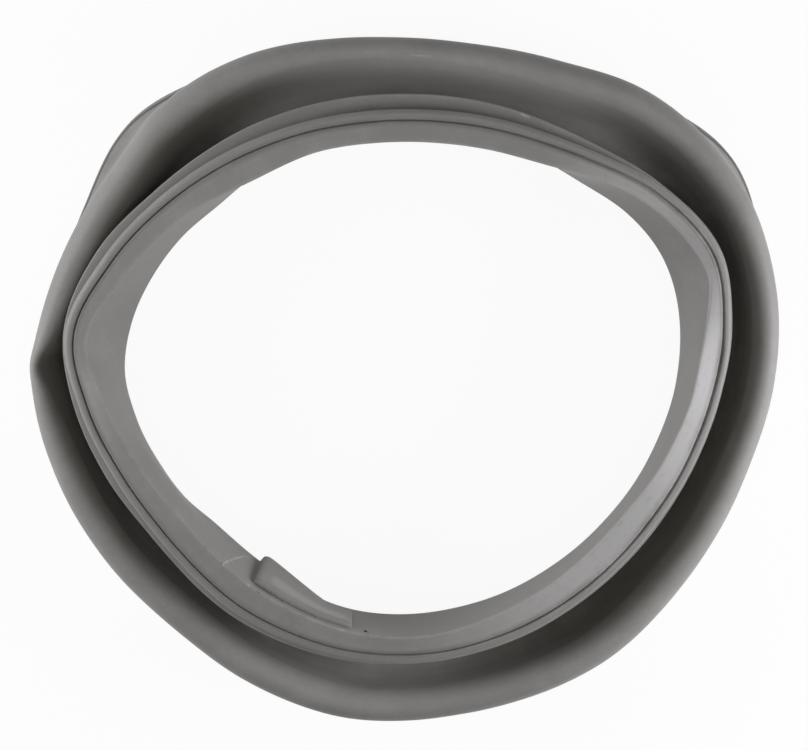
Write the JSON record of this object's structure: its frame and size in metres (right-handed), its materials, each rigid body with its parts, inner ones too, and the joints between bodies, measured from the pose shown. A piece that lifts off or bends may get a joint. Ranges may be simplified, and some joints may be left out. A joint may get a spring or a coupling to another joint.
{
  "type": "washing machine door seal",
  "caption": "Round rubber bellows seal for a front-loading washer door, with a deep outer fold, a lipped front ring, an inner throat with a wedge lug and a thick rear ring.",
  "frame": {"origin": "centre of the outline's box, on the surface that the seal lies on", "axes": "+Z along the seal's axis, from the rear tub ring towards the front ring; +Y towards the top of the door; +X to the right as seen from the front"},
  "size_m": [0.4284, 0.4036, 0.084],
  "materials": {
    "rubber": "matt grey moulded rubber with a faint sheen"
  },
  "bodies": {
    "root": {"door_seal": "rubber"}
  },
  "joints": []
}
